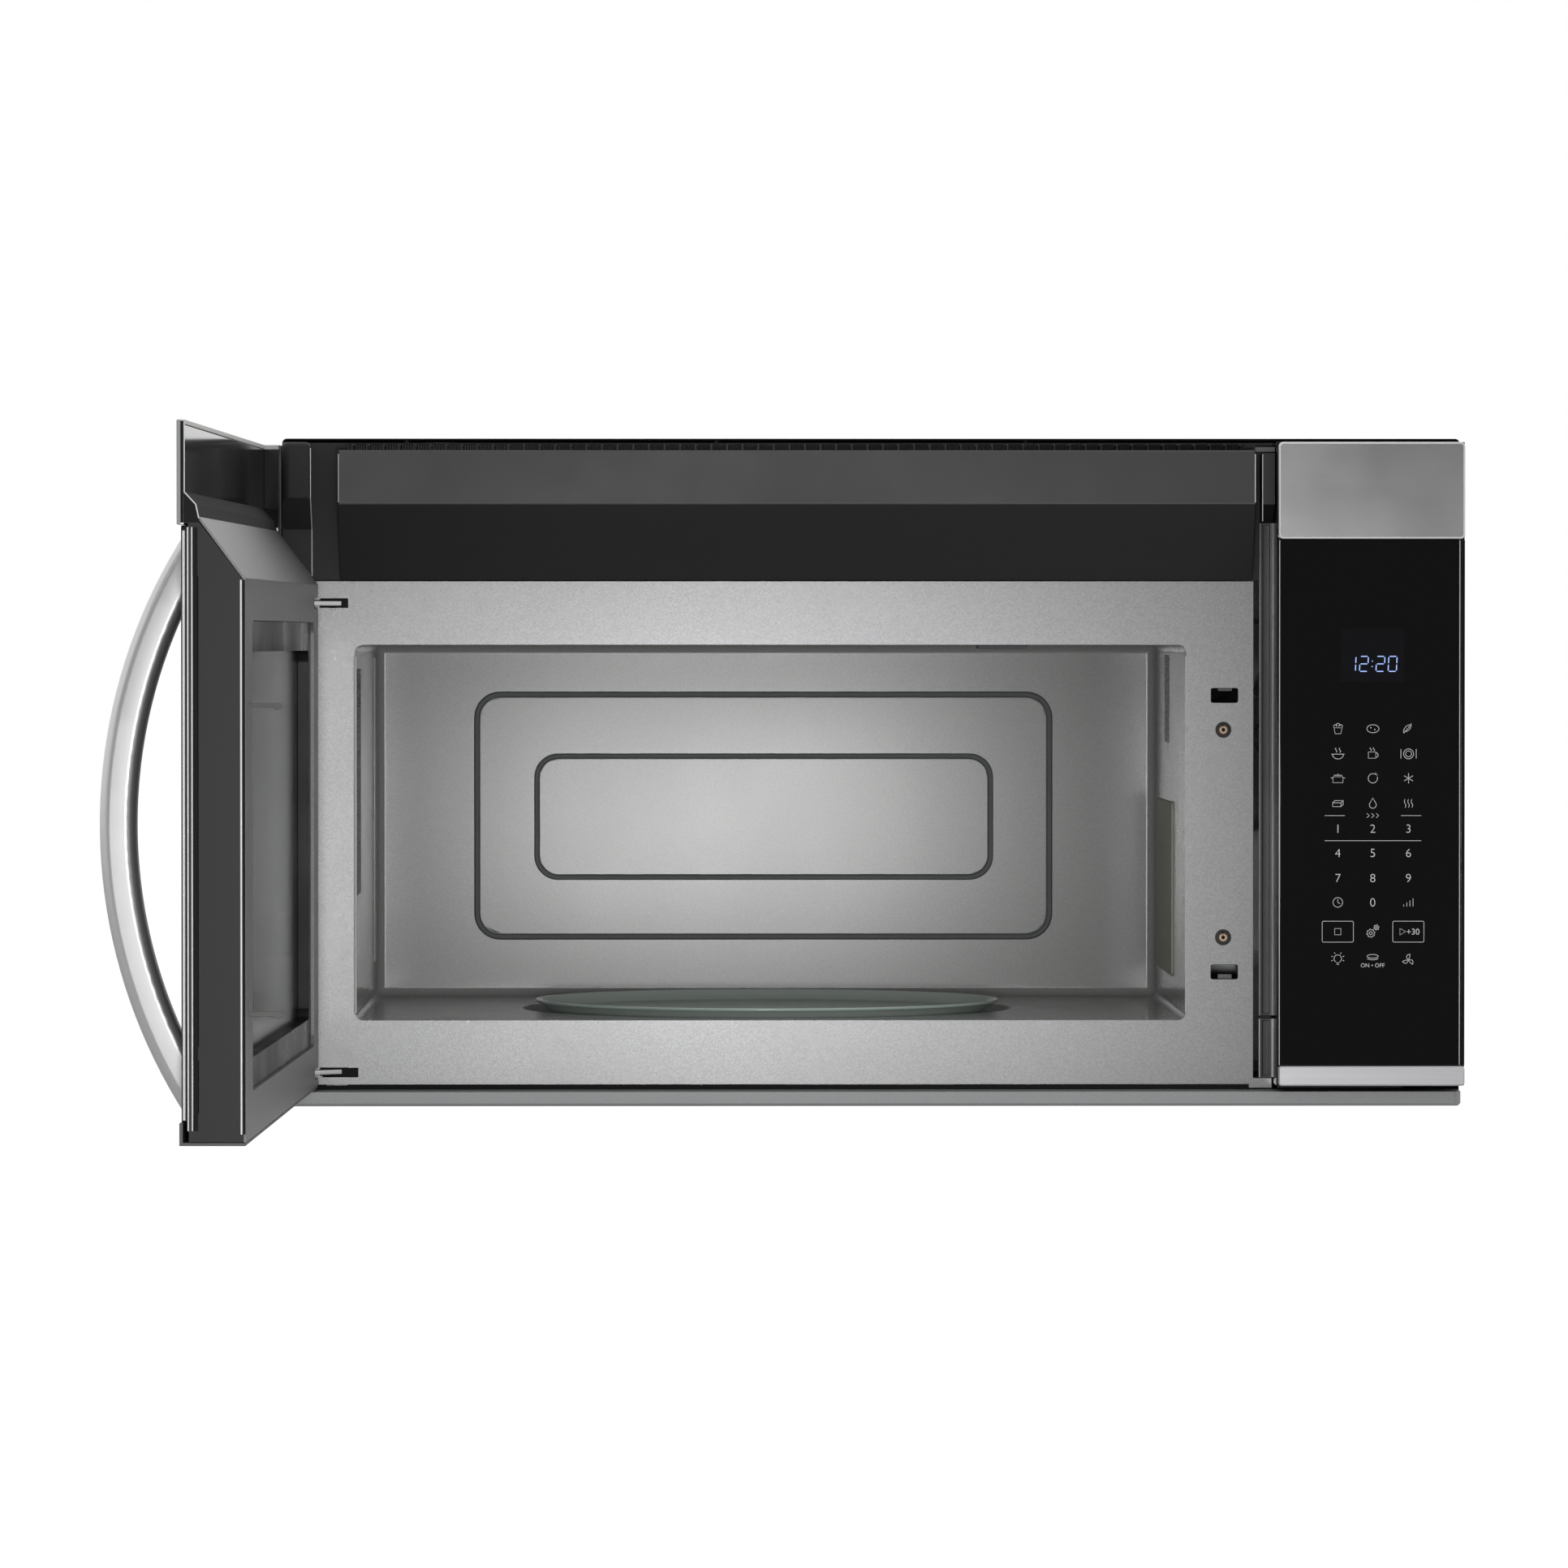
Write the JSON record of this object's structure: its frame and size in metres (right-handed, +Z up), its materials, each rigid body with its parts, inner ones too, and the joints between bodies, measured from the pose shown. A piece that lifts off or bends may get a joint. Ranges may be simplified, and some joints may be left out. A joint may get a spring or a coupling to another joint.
{
  "type": "over the range microwave",
  "caption": "Over the range microwave oven with a side-hinged door held open, bowed bar handle, touch control panel, turntable, vent grille and hood blower.",
  "frame": {"origin": "middle of the lower edge of the rear face, on the wall plane", "axes": "+X to the right seen from the front, +Y into the wall, +Z up"},
  "size_m": [0.8353, 1.0122, 0.4316],
  "materials": {
    "cabinet_paint": "satin",
    "zinc_sheet": "satin",
    "pan_paint": "satin",
    "frame_paint": "metallic satin",
    "cavity_paint": "metallic satin",
    "mica": "satin",
    "dark_plastic": "fine texture",
    "gloss_black": "gloss",
    "stainless": "brushed",
    "dark_glass": "gloss",
    "window_glass": "gloss",
    "tray_glass": "gloss",
    "board": "matte",
    "filter_mesh": "woven mesh",
    "charcoal": "felt",
    "white_plastic": "satin",
    "steel": "bright",
    "brass": "satin",
    "magnet_steel": "satin",
    "core_steel": "matte",
    "screen_steel": "perforated",
    "rubber": "matte"
  },
  "bodies": {
    "cabinet": {"outer_wrap": "cabinet_paint", "rear_panel": "zinc_sheet", "base_pan": "pan_paint", "cavity_wrap": "cavity_paint", "cavity_floor": "cavity_paint", "cavity_back": "cavity_paint", "front_frame": "frame_paint", "waveguide_cover": "mica", "waveguide": "zinc_sheet", "magnetron": "magnet_steel", "hv_transformer": "core_steel", "hv_capacitor": "magnet_steel", "cooling_shroud": "white_plastic", "blower_housing": "zinc_sheet", "blower_motor": "core_steel", "turntable_motor": "zinc_sheet", "vent_panel": "cabinet_paint", "vent_grille": "dark_plastic", "grille_end_cap": "dark_plastic", "charcoal_filter": "charcoal", "panel_housing": "dark_plastic", "panel_top_trim": "stainless", "panel_glass": "dark_glass", "panel_bottom_trim": "stainless", "display_module": "gloss_black", "control_board": "board", "seam_filler": "dark_plastic", "seam_strip": "dark_plastic", "hinge_arms": "steel", "latch_board": "white_plastic", "interlock_switches": "dark_plastic", "latch_screws": "brass", "cord_gland": "rubber", "weld_nuts": "steel", "cabinet_screws": "steel", "cooktop_lamp": "zinc_sheet"},
    "door": {"door_body": "dark_plastic", "door_glass": "dark_glass", "door_top_trim": "stainless", "door_bottom_trim": "stainless", "door_inner_frame": "frame_paint", "choke_cover": "gloss_black", "door_screen": "screen_steel", "inner_window": "window_glass", "handle": "stainless", "handle_screws": "steel", "hinge_pins": "steel"},
    "latch": {"latch_bar": "steel", "latch_spring": "steel"},
    "turntable": {"drive_coupler": "white_plastic", "glass_tray": "tray_glass"},
    "ring": {"roller_ring": "white_plastic"},
    "roller_a": {"roller_1": "white_plastic"},
    "roller_b": {"roller_2": "white_plastic"},
    "roller_c": {"roller_3": "white_plastic"},
    "fan": {"cooling_fan": "white_plastic"},
    "blower": {"blower_wheels": "zinc_sheet"},
    "filter_l": {"grease_filter_left": "filter_mesh"},
    "filter_r": {"grease_filter_right": "filter_mesh"},
    "lamp_door": {"lamp_cover": "window_glass"}
  },
  "joints": [
    {"name": "door_hinge", "type": "hinge", "parent": "cabinet", "child": "door", "pos_m": [-0.3685, -0.387, 0.17], "axis": [0, 0, 1], "range_deg": [-3, 91.2]},
    {"name": "latch_slide", "type": "slide", "parent": "door", "child": "latch", "axis": [0, 0, 1], "range_m": [0, 0.0025], "stiffness_N_per_m": 800, "springref_m": -0.004, "deforming": ["latch_spring"]},
    {"name": "turntable_spin", "type": "hinge", "parent": "cabinet", "child": "turntable", "pos_m": [-0.066, -0.19, 0.045], "axis": [0, 0, 1], "continuous": true},
    {"name": "ring_spin", "type": "hinge", "parent": "cabinet", "child": "ring", "pos_m": [-0.066, -0.19, 0.045], "axis": [0, 0, 1], "continuous": true},
    {"name": "roller_1_spin", "type": "hinge", "parent": "ring", "child": "roller_a", "pos_m": [0.0325, -0.19, 0.0434], "axis": [1, 0, 0], "continuous": true},
    {"name": "roller_2_spin", "type": "hinge", "parent": "ring", "child": "roller_b", "pos_m": [-0.11525, -0.1047, 0.0434], "axis": [-0.5, 0.866, 0], "continuous": true},
    {"name": "roller_3_spin", "type": "hinge", "parent": "ring", "child": "roller_c", "pos_m": [-0.11525, -0.2753, 0.0434], "axis": [-0.5, -0.866, 0], "continuous": true},
    {"name": "cooling_fan_spin", "type": "hinge", "parent": "cabinet", "child": "fan", "pos_m": [0.315, -0.046, 0.25], "axis": [0, 1, 0], "continuous": true},
    {"name": "blower_spin", "type": "hinge", "parent": "cabinet", "child": "blower", "pos_m": [0, -0.075, 0.358], "axis": [1, 0, 0], "continuous": true},
    {"name": "filter_left_drop", "type": "slide", "parent": "cabinet", "child": "filter_l", "axis": [0, 0, -1], "range_m": [0, 0.04]},
    {"name": "filter_right_drop", "type": "slide", "parent": "cabinet", "child": "filter_r", "axis": [0, 0, -1], "range_m": [0, 0.04]},
    {"name": "lamp_cover_hinge", "type": "hinge", "parent": "cabinet", "child": "lamp_door", "pos_m": [0, -0.3245, 0.0014], "axis": [1, 0, 0], "range_deg": [0, 80]}
  ],
  "couplings": [
    {"joint": "ring_spin", "follows": "turntable_spin", "ratio": 0.5},
    {"joint": "roller_1_spin", "follows": "turntable_spin", "ratio": -8.6403},
    {"joint": "roller_2_spin", "follows": "turntable_spin", "ratio": -8.6403},
    {"joint": "roller_3_spin", "follows": "turntable_spin", "ratio": -8.6403}
  ]
}
